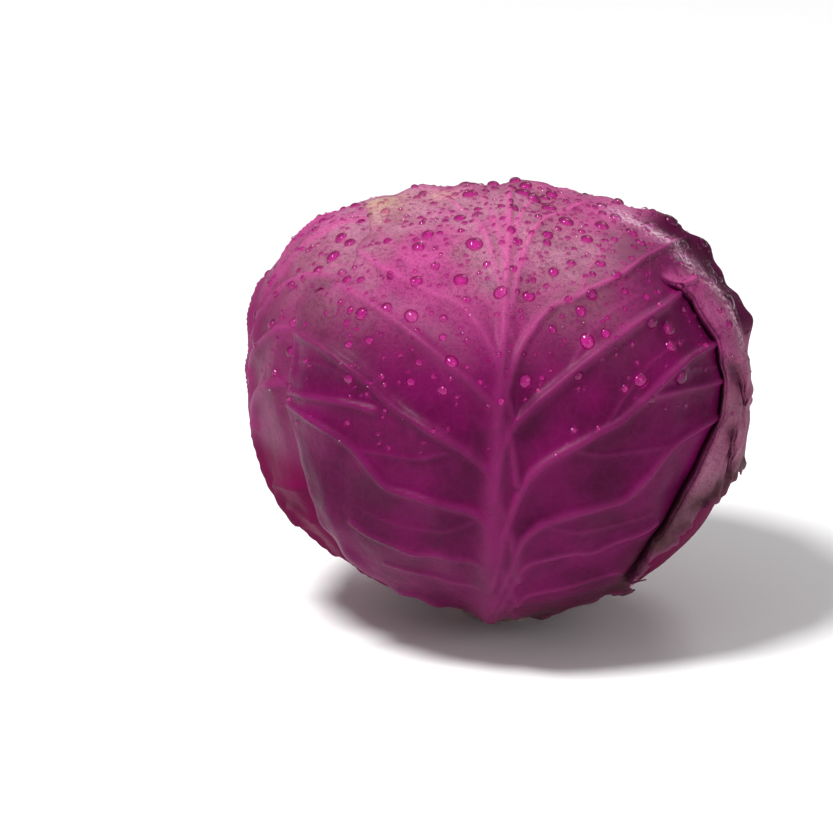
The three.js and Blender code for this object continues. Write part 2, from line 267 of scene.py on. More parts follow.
# pale haze on the crown: water mist, and painted light on the top
MIST_AND_TOP_LIGHT = (196, 146, 170)
VEIN = (126, 32, 92)
VEIN_IN_BLOOM = (196, 78, 146)
SPECKLE = (78, 10, 48)
WET = (136, 14, 98)
FOOT = (118, 56, 80)
# deeper colour of leaf that lay covered, with painted shade low down beside the front leaf
SHELTERED_AND_SHADE = (102, 0, 58)
# painted shade on the front leaf's turned-out upper right margin
FLARE_SHADE = (66, 0, 42)
FROST_AND_SHEEN = (210, 178, 196)
DRY = (68, 36, 44)
GREEN = (186, 172, 120)
# painted shade for the front leaf's fold grooves
GROOVE_SHADE = (36, 4, 24)
PITH = (226, 212, 182)
PITH_STAINED = (206, 184, 150)
WOOD_RING = (184, 158, 120)
RIND = (150, 104, 120)

# Light and camera, in metres and watts
WORLD_STRENGTH = 0.35
LAMPS = [  # name, place, width and power
    ("key", (-0.7, -0.5, 1.7), 0.5, 39.0),
    ("fill", (1.4, -1.5, 0.9), 1.2, 7.0),
    ("rim", (0.6, 1.2, 1.6), 0.7, 7.0),
]
FLOOR_WIDTH = 30.0
CAMERA_ELEVATION = math.radians(18)
CAMERA_DISTANCE = 2.2
CAMERA_SENSOR = 36.0  # the usual full-frame width, in real millimetres

# What the frame shows, in the CAD model's millimetres: its width, and how far left of the head's middle and
# below it the camera aims.
FRAME_WIDTH = 289.884
AIM_LEFT = 30.102
AIM_DOWN = 5.742


def smoothstep(low, high, value):
    t = np.clip((value - low) / (high - low), 0.0, 1.0)
    return t * t * (3 - 2 * t)


def lerp(a, b, t):
    return a + (b - a) * t


# Directions and the leaf's plane


def direction(polar, azimuth):
    """The direction at a polar angle from the stem and an azimuth from the front."""
    x = np.sin(polar) * np.sin(azimuth)
    y = -np.sin(polar) * np.cos(azimuth)
    return np.stack(np.broadcast_arrays(x, y, -np.cos(polar)), axis=-1)


def leaf_axes(turn):
    """Out of the head at the leaf's middle, along its midrib to the tip, and to its right."""
    out = direction(LEAF_CENTRE_POLAR, turn)
    tip = direction(LEAF_CENTRE_POLAR + math.pi / 2, turn)
    return out, tip, np.array([math.cos(turn), math.sin(turn), 0.0])


def to_plane(leaf, d):
    out, tip, side = leaf["axes"]
    scale = PLANE_RADIUS * np.sqrt(2 / np.maximum(1e-6, 1 + d @ out))
    return scale * (d @ side), scale * (d @ tip)


def from_plane(leaf, x, y):
    out, tip, side = leaf["axes"]
    u = (x / PLANE_RADIUS)[..., None]
    v = (y / PLANE_RADIUS)[..., None]
    squared = np.minimum(u * u + v * v, PLANE_MOST)
    spread = np.sqrt(1 - squared / 4)
    d = out * (1 - squared / 2) + side * (u * spread) + tip * (v * spread)
    return d / np.linalg.norm(d, axis=-1, keepdims=True)


class Waves:
    """A smooth random field over space: a sum of plane waves, from -1 to 1 or so."""

    def __init__(self, seed, length, count=14):
        rng = np.random.default_rng(seed)
        aim = rng.normal(size=(count, 3))
        aim /= np.linalg.norm(aim, axis=1, keepdims=True)
        self.k = aim * (2 * math.pi / (length * rng.uniform(0.7, 1.5, (count, 1))))
        self.phase = rng.uniform(0, 2 * math.pi, count)
        self.share = math.sqrt(2.0 / count) * 0.75

    def __call__(self, points):
        return self.share * np.sin(points @ self.k.T + self.phase).sum(axis=-1)


# The head's outside and the stack of leaves


def outer_radius(d):
    """The distance from the head's centre to its outside in a direction."""
    power = np.where(d[..., 2] > 0, SHOULDER_POWER, BASE_POWER)
    level = np.hypot(d[..., 0] / HEAD_HALF_WIDTH, d[..., 1] / HEAD_HALF_DEPTH)
    upright = np.abs(d[..., 2]) / HEAD_HALF_HEIGHT
    bulge = 1 + BULGE * np.maximum(0, d @ BULGE_TOWARDS) ** 3
    return bulge * (level**power + upright**power) ** (-1 / power)


def smooth_max(a, b, blend):
    h = np.maximum(blend - np.abs(a - b), 0) / blend
    return np.maximum(a, b) + h * h * blend / 4


SWELL = Waves(71, 46)
SWELL_FINE = Waves(72, 17)
MARGIN_WAVES = [Waves(300 + i, 22) for i in range(len(LEAVES))]
RAGGED = Waves(41, 7)
RAGGED_FINE = Waves(42, 2.6)


def tear_nearness(x, y):
    """1 at the front leaf's torn margin and along its lower right edge, 0 away from it."""
    tear_x, tear_y, tear_radius = FRONT_TEAR
    far = np.hypot(x - tear_x, y - tear_y) - tear_radius
    along_base = smoothstep(0, 16, x) * smoothstep(-56, -74, y)
    return np.maximum(smoothstep(16, 4, far), 0.75 * along_base)


def inside_leaf(leaf, d):
    """How far a direction's point lies inside a leaf's edge, and negative outside it."""
    x, y = to_plane(leaf, d)
    across = np.abs(x) / np.where(x > 0, leaf["right"], leaf["left"])
    along = np.abs(y) / np.where(y > 0, leaf["top"], leaf["bottom"])
    share = np.maximum(1e-6, (across**OUTLINE_POWER + along**OUTLINE_POWER) ** (1 / OUTLINE_POWER))
    radius = np.hypot(x, y)
    blade = np.where(share > 1e-5, radius / share - radius, leaf["bottom"])
    neck = np.minimum(np.minimum(leaf["neck"] - np.abs(x), -y), y + FOOT_END)
    whole = smooth_max(blade, neck, FOOT_BLEND)
    points = d * PLANE_RADIUS
    for bite_x, bite_y, bite_radius in leaf.get("bites", ()):
        whole = np.minimum(whole, np.hypot(x - bite_x, y - bite_y) - bite_radius)
    if leaf["index"] == 0:
        ragged = RAGGED_SIZE * RAGGED(points) + RAGGED_FINE_SIZE * RAGGED_FINE(points)
        whole = whole + tear_nearness(x, y) * ragged
    ripple = RIPPLE_HEIGHT * np.sin(RIPPLES * np.arctan2(x, y) + leaf["turn"])
    ripple = ripple + RIPPLE_UNEVENNESS * MARGIN_WAVES[leaf["index"]](points)
    edge = whole + ripple * smoothstep(-60, 0, y)
    level = np.hypot(d[..., 0], d[..., 1])
    foot = level * (outer_radius(d) - leaf["depth"]) - STEM_RADIUS - STEM_GAP
    return np.where(d[..., 2] > 0, edge, np.minimum(edge, foot))


def stack_under(first, d):
    """How far a leaf is raised by the leaves from number first inwards that lie under it."""
    lift = np.zeros(d.shape[:-1])
    for leaf in LEAVES[first:]:
        cover = smoothstep(-COVER_MARGIN - COVER_FALL, -COVER_MARGIN, inside_leaf(leaf, d))
        lift += cover * (BLADE + LEAF_GAP)
    return lift


def prepare_leaves():
    for index, leaf in enumerate(LEAVES):
        leaf["index"] = index
        leaf["turn"] = index * NEXT_LEAF_TURN
        leaf["axes"] = leaf_axes(leaf["turn"])
        leaf["depth"] = (index + 1) * (BLADE + LEAF_GAP)


def stack_depths():
    """The stack's depth at each polar angle: its mean round the head, or near the stem its deepest."""
    polars = np.linspace(0, math.pi, 37)
    around = np.radians(np.arange(0, 360, 5))
    depths = []
    for polar in polars:
        lifts = stack_under(0, direction(np.full(around.shape, max(polar, STACK_BOTTOM)), around))
        base = 1 - smoothstep(math.radians(35), math.radians(75), polar)
        depths.append(lerp(lifts.mean(), lifts.max(), base))
    return polars, np.array(depths)


prepare_leaves()
POLARS, DEPTHS = stack_depths()


def core_radius(d):
    """The radius that the innermost modelled leaf sits on."""
    return outer_radius(d) - RELIEF_ROOM - np.interp(np.arccos(np.clip(-d[..., 2], -1, 1)), POLARS, DEPTHS)


# Veins and folds


def curve(path, steps=6):
    """A smooth line through the points of a path (Catmull-Rom)."""
    p = np.array(path, float)
    p = np.vstack([2 * p[0] - p[1], p, 2 * p[-1] - p[-2]])
    t = np.linspace(0, 1, steps, endpoint=False)[:, None]
    parts = []
    for a, b, c, e in zip(p, p[1:], p[2:], p[3:]):
        part = 2 * b + (c - a) * t
        part = part + (2 * a - 5 * b + 4 * c - e) * t**2
        part = part + (3 * b - a - 3 * c + e) * t**3
        parts.append(0.5 * part)
    return np.vstack([*parts, p[-2]])


def distance_to(path, x, y):
    """The distance from each point to a line, and how far along it the nearest place is, from 0 to 1."""
    line = curve(path)
    best = np.full(x.shape, 1e9)
    along = np.zeros(x.shape)
    count = len(line) - 1
    for i, (a, b) in enumerate(zip(line, line[1:])):
        run = b - a
        t = np.clip(((x - a[0]) * run[0] + (y - a[1]) * run[1]) / (run @ run), 0, 1)
        far = np.hypot(x - a[0] - run[0] * t, y - a[1] - run[1] * t)
        nearer = far < best
        best = np.where(nearer, far, best)
        along = np.where(nearer, (i + t) / count, along)
    return best, along


def leaf_veins(leaf):
    """All veins of a leaf as (path, width, height, strength). The left side mirrors the right one."""
    rng = np.random.default_rng(500 + leaf["index"])
    veins = []
    for side in (1, -1):
        as_drawn = side == 1 and leaf["index"] == 0
        faint = 1.0 if side == 1 else LEFT_VEIN_STRENGTH
        for paths, strength in ((SIDE_VEINS, faint), (FORKS, FORK_STRENGTH * faint)):
            for path, width, height in paths:
                spread = 1.0 if as_drawn else rng.uniform(0.9, 1.12)
                drop = 0.0 if as_drawn else rng.uniform(-7, 7)
                moved = [(side * px * spread, py + drop * smoothstep(-100, -60, py)) for px, py in path]
                veins.append((moved, width, height, strength))
    return veins


def vein_field(leaf, x, y):
    """The height of the veins, of the broad crests that they run along, and how pale they are."""
    height = np.zeros(x.shape)
    crest = np.zeros(x.shape)
    pale = np.zeros(x.shape)
    for path, width, rise, strength in leaf_veins(leaf):
        far, along = distance_to(path, x, y)
        wide = VEIN_WIDTH * width * lerp(1.0, VEIN_WIDTH_AT_END, along)
        tall = VEIN_RISE * rise * lerp(1.0, VEIN_RISE_AT_END, along)
        height = np.maximum(height, tall * np.exp(-((far / wide) ** 2)))
        crest = smooth_max(crest, 1.5 * tall * np.exp(-far / CREST_REACH), 0.3)
        pale = np.maximum(pale, strength * lerp(0.9, 0.8, along) * np.exp(-((far / (0.95 * wide)) ** 2)))
    down = smoothstep(leaf["top"], -leaf["bottom"] - 15, y)
    middle = np.abs(x - MIDRIB_LEAN * y - MIDRIB_SHIFT)
    wide = lerp(MIDRIB_AT_TIP, MIDRIB_AT_FOOT, down**2)
    rib = leaf["rib"] * lerp(0.35, 1.0, down) * np.exp(-((middle / wide) ** 2))
    fade = smoothstep(leaf["top"] + 4, leaf["top"] - 20, y)
    height = smooth_max(height, rib * fade, 0.6)
    crest = smooth_max(crest, 1.6 * fade * np.exp(-middle / MIDRIB_CREST_REACH), 0.3)
    pale = np.maximum(pale, fade * lerp(1.0, 0.6, down) * np.exp(-((middle / (0.9 * wide)) ** 2)))
    return height, crest, pale


def fold_at(line, y):
    """The x of a fold's line at each y."""
    points = np.array(line, float)
    order = np.argsort(points[:, 1])
    return np.interp(y, points[order, 1], points[order, 0])


def fold_shape(fold, x, y):
    """A fold's height, its sideways shift and how much painted shade its groove gets."""
    past = x - fold_at(fold["line"], y)
    low, low_full, high_full, high = fold["span"]
    ends = smoothstep(low, low_full, y) * (1 - smoothstep(high_full, high, y))
    rise = smoothstep(0, 3.2, past) * (1 - 0.8 * smoothstep(5, fold["reach"], past))
    height = ends * (fold["height"] * rise - fold["groove"] * np.exp(-(((past - 0.3) / 1.9) ** 2)))
    tuck = 0.5 * np.exp(-(((past - 0.5) / 1.3) ** 2))
    shift = ends * fold["overhang"] * (tuck - np.exp(-(((past - 3.2) / 2.3) ** 2)))
    groove = ends * np.exp(-(((past - 0.8) / 1.5) ** 2))
    return height, shift, groove


def front_folds(x, y):
    """All the front leaf's folds, with the wrinkled band that lies right of the main one."""
    height = np.zeros(x.shape)
    shift = np.zeros(x.shape)
    groove = np.zeros(x.shape)
    for fold in (MAIN_FOLD, *SMALL_FOLDS):
        more_height, more_shift, more_groove = fold_shape(fold, x, y)
        height += more_height
        shift += more_shift
        groove = np.maximum(groove, more_groove)
    past = x - fold_at(MAIN_FOLD["line"], y)
    band = smoothstep(1, 4, past) * smoothstep(-72, -60, y) * (1 - smoothstep(50, 66, y))
    wrinkles = 0.5 + 0.5 * np.sin(1.05 * past + 1.6 * SWELL_FINE(np.stack([x, y, 0 * x], axis=-1)))
    height += WRINKLE_HEIGHT * wrinkles * band * smoothstep(4, 9, past) * (1 - smoothstep(26, 36, past))
    return height, shift, groove, band


FLARE_WAVES = Waves(51, 26)
FLARE_TEETH = Waves(52, 8)


def flare(x, y, depth, points):
    """How far the front leaf's upper right margin turns out, and where that margin is."""
    start, full, full_end, end = FLARE_SPAN
    place = smoothstep(60, 80, x) * smoothstep(start, full, y) * (1 - smoothstep(full_end, end, y))
    wave = 0.8 + 0.3 * FLARE_WAVES(points) + 0.12 * FLARE_TEETH(points)
    return FLARE_HEIGHT * place * wave * (1 - smoothstep(0, FLARE_WIDTH, depth)), place


# Leaf meshes


def largest_patch(keep):
    """The cells that are joined to the middle of the grid."""
    reached = np.zeros_like(keep)
    middle = keep.shape[0] // 2
    reached[middle, middle] = keep[middle, middle]
    count = 0
    while count != reached.sum():
        count = reached.sum()
        for _ in range(12):
            grown = reached.copy()
            grown[1:] |= reached[:-1]
            grown[:-1] |= reached[1:]
            grown[:, 1:] |= reached[:, :-1]
            grown[:, :-1] |= reached[:, 1:]
            reached = grown & keep
    return reached


def drop_pinches(keep):
    """Removes cells that meet only at a corner."""
    for _ in range(3):
        a, b, c, e = keep[:-1, :-1], keep[:-1, 1:], keep[1:, :-1], keep[1:, 1:]
        first = a & e & ~b & ~c
        second = b & c & ~a & ~e
        keep = keep.copy()
        keep[1:, 1:] &= ~first
        keep[1:, :-1] &= ~second
    return keep


def leaf_grid(leaf):
    """The outline filled with square cells: plane points, cells as point numbers, and the open sides."""
    cell = leaf["cell"] * QUICK
    steps = int(REACH / cell)
    axis = np.arange(-steps, steps + 1) * cell
    x, y = np.meshgrid(axis, axis)
    middle_x = x[:-1, :-1] + cell / 2
    middle_y = y[:-1, :-1] + cell / 2
    keep = inside_leaf(leaf, from_plane(leaf, middle_x, middle_y)) > 0
    keep &= np.hypot(middle_x, middle_y) < REACH
    keep = largest_patch(drop_pinches(largest_patch(keep)))
    number = np.arange(x.size).reshape(x.shape)
    cells = np.stack([number[:-1, :-1], number[:-1, 1:], number[1:, 1:], number[1:, :-1]], axis=-1)[keep]
    used, flat = np.unique(cells, return_inverse=True)
    cells = flat.reshape(cells.shape)
    x, y = x.ravel()[used], y.ravel()[used]
    sides = np.concatenate([cells[:, [i, (i + 1) % 4]] for i in range(4)])
    key = np.sort(sides, axis=1) @ np.array([len(used), 1])
    _, first, times = np.unique(key, return_index=True, return_counts=True)
    sides = sides[first[times == 1]]
    rim = np.unique(sides)
    for _ in range(4):
        x[rim], y[rim] = onto_edge(leaf, x[rim], y[rim], cell)
    return x, y, cells, sides


def onto_edge(leaf, x, y, cell):
    """Moves points a step towards the leaf's edge."""
    h = 0.15
    depth = inside_leaf(leaf, from_plane(leaf, x, y))
    slope_x = (inside_leaf(leaf, from_plane(leaf, x + h, y)) - depth) / h
    slope_y = (inside_leaf(leaf, from_plane(leaf, x, y + h)) - depth) / h
    steep = np.maximum(0.25, slope_x**2 + slope_y**2)
    step = np.clip(depth / steep, -0.3 * cell, 0.3 * cell)
    return x - slope_x * step, y - slope_y * step


def uncovered(leaf, d):
    """1 where no other leaf lies over this one, 0 where one does."""
    bare = np.ones(d.shape[:-1])
    for over in LEAVES[: leaf["index"]]:
        bare *= 1 - smoothstep(-10, -3, inside_leaf(over, d))
    return bare


def leaf_surface(leaf, x, y):
    """The leaf's two faces as points about the head's centre, and its painted values."""
    index = leaf["index"]
    d = from_plane(leaf, x, y)
    depth = inside_leaf(leaf, d)
    bare = uncovered(leaf, d)
    ridge, crest, pale = vein_field(leaf, x, y)
    points = d * PLANE_RADIUS
    swell = SWELL_HEIGHT * (1 + SWELL(points)) + SWELL_FINE_HEIGHT * (1 + SWELL_FINE(points))
    curl_height = FRONT_CURL if index == 0 else CURL
    curl = curl_height * smoothstep(7, 0, depth) * (1 + 0.6 * MARGIN_WAVES[index](points * 1.7))
    relief = bare * (crest * smoothstep(0, 8, depth) + swell + curl)
    seat = core_radius(d) + LEAF_GAP + stack_under(index + 1, d) + leaf["lift"] + relief
    blade = lerp(BLADE_AT_MARGIN, BLADE, smoothstep(0, 6, depth))
    shift = np.zeros(x.shape)
    groove = np.zeros(x.shape)
    dark = np.zeros(x.shape)
    frost_and_sheen = np.zeros(x.shape)
    dry = np.zeros(x.shape)
    band = np.zeros(x.shape)
    if index == 0:
        fold, shift, groove, band = front_folds(x, y)
        out, place = flare(x, y, depth, points)
        near = tear_nearness(x, y)
        seat = seat + fold + out + TORN_LIFT * near * smoothstep(8, 0, depth)
        # painted shade over the turned-out upper right margin
        dark = place * smoothstep(22, 15, depth)
        frost_and_sheen = np.exp(-((distance_to(FROST_AND_SHEEN_LINE, x, y)[0] / FROST_AND_SHEEN_WIDTH) ** 2))
        dry = near * smoothstep(17, 3, depth)
    else:
        seat = seat - TUCK_UNDER_FOLD * smoothstep(14, 0, front_fold_distance(d))
    thick = blade + (COVERED_RELIEF + (1 - COVERED_RELIEF) * bare) * ridge
    unfolded = d
    d = from_plane(leaf, x + shift, y)
    inner = d * seat[:, None]
    outer = d * (seat + thick)[:, None]
    values = {"vein": pale, "groove": groove, "flare_shade": dark, "frost_and_sheen": frost_and_sheen, "dry": dry}
    # paler along every edge: the thin margin's own colour, with a painted highlight along it
    values["margin"] = smoothstep(3.0, 0.3, depth)
    # darker low down beside the front leaf: the deeper colour of leaf that lay covered, and painted shade
    near_front = smoothstep(-60, -42, inside_leaf(LEAVES[0], unfolded))
    near_front = near_front * smoothstep(-0.05, -0.2, unfolded[:, 2])
    values["sheltered"] = near_front if index > 0 else np.zeros(x.shape)
    spots = sum(np.exp(-(((x - sx) ** 2 + (y - sy) ** 2) / r**2)) for sx, sy, r in GREEN_SPOTS)
    values["green"] = spots if index == 0 else np.zeros(x.shape)
    share = bloom_and_top_light_share(leaf, x, y, inner[:, 2] + HEAD_CENTRE_Z)
    # the wrinkled band's bloom, partly a painted sheen
    values["bloom"] = np.maximum(share, BLOOM_AND_SHEEN_ON_BAND * band)
    values["foot"] = smoothstep(-60, -100, y) * np.exp(-((x / 17) ** 2))
    return outer, inner, values


def bloom_and_top_light_share(leaf, x, y, z):
    """How thick the wax bloom is, partly painted light on the top: thickest on the crown, and thin on the
    front leaf's right side.
    """
    share = smoothstep(BLOOM_START, BLOOM_FULL, z)
    if leaf["index"] > 0:
        return 0.12 + 0.88 * share
    right = smoothstep(28, 62, x) * smoothstep(92, 60, y)
    return share * (1 - 0.85 * right)


def front_fold_distance(d):
    """How far a direction is from the front leaf's main fold, and very far on the head's other side."""
    x, y = to_plane(LEAVES[0], d)
    same_side = (x > 20) & (d @ LEAVES[0]["axes"][0] > -0.4)
    return np.where(same_side, distance_to(MAIN_FOLD["line"], x, y)[0], 1e3)


def to_metres(points):
    """Points about the head's centre, in millimetres, as places in the frame."""
    return (points + np.array([0, 0, HEAD_CENTRE_Z])) * MM


def wet_leaves(leaves, beads):
    """Marks the leaf under each larger drop as wet, where the bloom doesn't show."""
    for piece in leaves:
        count = len(piece.data.vertices)
        places = np.empty(count * 3)
        piece.data.vertices.foreach_get("co", places)
        places = places.reshape(count, 3)
        wet = np.zeros(count)
        for spot, size in beads:
            far = np.linalg.norm(places - spot, axis=1) / (size * MM)
            wet = np.maximum(wet, smoothstep(1.15, 0.8, far))
        layer = piece.data.attributes.new("wet", "FLOAT", "POINT")
        layer.data.foreach_set("value", wet.astype(np.float32))


def new_object(name, points, faces, values=None):
    """A mesh object from points in metres and a list of face arrays."""
    mesh = bpy.data.meshes.new(name)
    mesh.from_pydata(points.tolist(), [], [f for group in faces for f in group.tolist()])
    mesh.polygons.foreach_set("use_smooth", np.full(len(mesh.polygons), True))
    for key, value in (values or {}).items():
        layer = mesh.attributes.new(key, "FLOAT", "POINT")
        layer.data.foreach_set("value", np.ascontiguousarray(value, dtype=np.float32))
    mesh.update()
    piece = bpy.data.objects.new(name, mesh)
    bpy.context.scene.collection.objects.link(piece)
    return piece


def make_leaf(leaf, material):
    """A leaf as one closed mesh: its outer face, its inner face and the wall between them at the edge."""
    x, y, cells, sides = leaf_grid(leaf)
    outer, inner, values = leaf_surface(leaf, x, y)
    count = len(x)
    wall = np.stack([sides[:, 0], sides[:, 0] + count, sides[:, 1] + count, sides[:, 1]], axis=-1)
    points = to_metres(np.vstack([outer, inner]))
    doubled = {key: np.concatenate([value, value]) for key, value in values.items()}
    piece = new_object("leaf_" + leaf["name"], points, [cells, cells[:, ::-1] + count, wall], doubled)
    piece.data.materials.append(material)
    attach(piece, "root")
    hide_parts(leaf["name"])
    return piece


# Materials


def srgb(colour):
    """A colour given as 0 to 255, as linear light."""
    parts = [c / 255 for c in colour]
    return (*[c / 12.92 if c < 0.0405 else ((c + 0.055) / 1.055) ** 2.4 for c in parts], 1.0)


class Nodes:
    """Short calls that add shader nodes to a material and join them."""

    def __init__(self, name):
        self.material = bpy.data.materials.new(name)
        self.material.use_nodes = True
        self.tree = self.material.node_tree
        self.tree.nodes.clear()
        self.out = self.tree.nodes.new("ShaderNodeOutputMaterial")

    def node(self, kind, settings=None, **inputs):
        made = self.tree.nodes.new("ShaderNode" + kind)
        for key, value in (settings or {}).items():
            setattr(made, key, value)
        for key, value in inputs.items():
            self.put(made.inputs[key.replace("_", " ")], value)
        return made

    def put(self, socket, value):
        if isinstance(value, bpy.types.NodeSocket):
            self.tree.links.new(value, socket)
        else:
            socket.default_value = value

    def value(self, name):
        return self.node("Attribute", {"attribute_name": name}).outputs["Fac"]

    def place(self):
        return self.node("TexCoord").outputs["Object"]

    def noise(self, scale, detail=3.0, roughness=0.55, distortion=0.0):
        made = self.node("TexNoise", Scale=scale, Detail=detail, Roughness=roughness, Distortion=distortion)
        self.put(made.inputs["Vector"], self.place())
        return made.outputs["Fac"]

    def cells(self, scale):
        made = self.node("TexVoronoi", {"feature": "DISTANCE_TO_EDGE"}, Scale=scale)
        self.put(made.inputs["Vector"], self.place())
        return made.outputs["Distance"]

    def math(self, operation, a, b=0.0, clamp=False):
        made = self.node("Math", {"operation": operation, "use_clamp": clamp})
        self.put(made.inputs[0], a)
        self.put(made.inputs[1], b)
        return made.outputs[0]

    def spread(self, value, low, high, to_low=0.0, to_high=1.0):
        made = self.node("MapRange", {"interpolation_type": "SMOOTHSTEP"})
        for socket, given in zip(made.inputs, (value, low, high, to_low, to_high)):
            self.put(socket, given)
        return made.outputs[0]

    def mix(self, share, a, b):
        made = self.node("Mix", {"data_type": "RGBA"})
        self.put(made.inputs[0], share)
        self.put(made.inputs[6], a)
        self.put(made.inputs[7], b)
        return made.outputs[2]

    def bump(self, height, distance, strength, normal=None):
        made = self.node("Bump", Strength=strength, Distance=distance)
        self.put(made.inputs["Height"], height)
        if normal is not None:
            self.put(made.inputs["Normal"], normal)
        return made.outputs["Normal"]

    def finish(self, shader):
        self.tree.links.new(shader, self.out.inputs["Surface"])
        return self.material


def leaf_material(name, look):
    """Purple leaf: blade, paler veins, wax bloom and painted light thickest on the crown, and dried margins.
    """
    n = Nodes(name)
    cloud = n.noise(38.0, 4.0)
    patches = n.noise(95.0, 5.0, 0.62, 0.6)
    fine = n.noise(720.0, 3.0, 0.6)
    specks = n.noise(1900.0, 2.0, 0.5)
    net = n.cells(210.0)

    colour = n.mix(n.spread(cloud, 0.34, 0.66), srgb(look["deep"]), srgb(look["blade"]))
    colour = n.mix(n.math("MULTIPLY", n.spread(net, 0.12, 0.0), 0.04), colour, srgb(NET))
    dark_patch = n.spread(n.noise(62.0, 3.0, 0.6), 0.52, 0.7)
    colour = n.mix(n.math("MULTIPLY", dark_patch, 0.4), colour, srgb(DARK_PATCH))
    # the bloom value also carries painted light on the top of the head
    bloom = n.value("bloom")
    wax = n.math("MULTIPLY", bloom, look["bloom_most"])
    wax = n.math("MULTIPLY", wax, n.spread(patches, 0.3, 0.6, 0.6, 1.0))
    wax = n.math("MULTIPLY", wax, n.spread(fine, 0.35, 0.52, 0.7, 1.0), True)
    wax_colour = n.mix(n.spread(n.noise(22.0, 3.0), 0.42, 0.58), srgb(BLOOM_PINK), srgb(BLOOM_BROWN))
    colour = n.mix(wax, colour, wax_colour)
    # a pale haze over the crown: the water mist there, and painted light on the top
    mist = n.spread(n.noise(30.0, 3.0), 0.42, 0.62, 0.05, 0.45)
    mist = n.math("MULTIPLY", n.math("POWER", bloom, 3.0), mist)
    mist = n.math("MULTIPLY", mist, n.spread(fine, 0.38, 0.55, 0.4, 1.0))
    colour = n.mix(mist, colour, srgb(MIST_AND_TOP_LIGHT))
    vein = n.math("MULTIPLY", n.value("vein"), n.spread(cloud, 0.3, 0.6, 0.6, 0.95))
    vein_colour = n.mix(bloom, srgb(VEIN), srgb(VEIN_IN_BLOOM))
    colour = n.mix(vein, colour, vein_colour)
    spotted = n.math("ADD", n.math("MULTIPLY", bloom, 0.35), 0.28)
    colour = n.mix(n.math("MULTIPLY", n.spread(specks, 0.45, 0.36), spotted), colour, srgb(SPECKLE))
    colour = n.mix(n.value("wet"), colour, srgb(WET))
    colour = n.mix(n.math("MULTIPLY", n.value("foot"), 0.6), colour, srgb(FOOT))
    # the deeper colour of covered leaf, with painted shade low down beside the front leaf
    colour = n.mix(n.math("MULTIPLY", n.value("sheltered"), 0.94), colour, srgb(SHELTERED_AND_SHADE))
    grains = n.spread(n.noise(900.0, 3.0, 0.7), 0.44, 0.56)
    grains = n.math("MULTIPLY", grains, n.spread(patches, 0.35, 0.55))
    # a whitish wax line that is partly a painted sheen
    frost_and_sheen = n.math("MULTIPLY", n.value("frost_and_sheen"), grains, True)
    # painted shade over the turned-out upper right margin
    colour = n.mix(n.math("MULTIPLY", n.value("flare_shade"), 0.95), colour, srgb(FLARE_SHADE))
    colour = n.mix(n.math("MULTIPLY", frost_and_sheen, 0.85), colour, srgb(FROST_AND_SHEEN))
    dry = n.math("MULTIPLY", n.value("dry"), n.spread(patches, 0.3, 0.6, 0.6, 1.0), True)
    colour = n.mix(dry, colour, srgb(DRY))
    green = n.math("MULTIPLY", n.value("green"), n.spread(fine, 0.4, 0.55, 0.1, 0.4), True)
    colour = n.mix(green, colour, srgb(GREEN))
    # painted shade darkening the bottom of each fold's groove
    colour = n.mix(n.math("MULTIPLY", n.value("groove"), 0.6), colour, srgb(GROOVE_SHADE))
    # paler margins: their own colour, partly a painted edge highlight
    colour = n.mix(n.math("MULTIPLY", n.value("margin"), look["margin_and_edge_highlight_share"]), colour, srgb(look["margin"]))

    rough = n.spread(wax, 0.0, 0.9, 0.42, 0.6)
    rough = n.math("ADD", rough, n.math("MULTIPLY", n.math("SUBTRACT", fine, 0.5), 0.25))
    rough = n.math("ADD", rough, n.math("MULTIPLY", n.value("flare_shade"), 0.4), True)
    rough = n.math("ADD", rough, n.math("MULTIPLY", n.value("sheltered"), 0.3), True)
    normal = n.bump(net, 0.3 * MM, 0.1)
    normal = n.bump(patches, 0.9 * MM, 0.45, normal)
    normal = n.bump(fine, 0.2 * MM, 0.5, normal)
    shader = n.node("BsdfPrincipled", Base_Color=colour, Roughness=rough, Normal=normal)
    shader.inputs["Specular IOR Level"].default_value = 0.09
    return n.finish(shader.outputs[0])


def stem_material():
    """Cut stem: cream pith, stained in patches, with a darker woody ring and a purplish rind."""
    n = Nodes("cut stem")
    grain = n.noise(260.0, 4.0)
    fibre = n.noise(1200.0, 2.0)
    place = n.node("SeparateXYZ", Vector=n.place())
    flat = n.node("CombineXYZ", X=place.outputs["X"], Y=place.outputs["Y"], Z=0.0).outputs[0]
    reach = n.node("VectorMath", {"operation": "LENGTH"})
    n.put(reach.inputs[0], flat)
    off_ring = n.math("ABSOLUTE", n.math("SUBTRACT", reach.outputs["Value"], 11.5 * MM))
    ring = n.spread(off_ring, 1.6 * MM, 0.2 * MM)
    colour = n.mix(n.spread(grain, 0.3, 0.7), srgb(PITH), srgb(PITH_STAINED))
    colour = n.mix(n.math("MULTIPLY", ring, 0.5), colour, srgb(WOOD_RING))
    rind = n.spread(reach.outputs["Value"], 14.2 * MM, 15.8 * MM)
    colour = n.mix(n.math("MULTIPLY", rind, 0.8), colour, srgb(RIND))
    normal = n.bump(n.math("ADD", grain, n.math("MULTIPLY", fibre, 0.5)), 0.5 * MM, 0.7)
    shader = n.node("BsdfPrincipled", Base_Color=colour, Roughness=0.7, Normal=normal)
    return n.finish(shader.outputs[0])


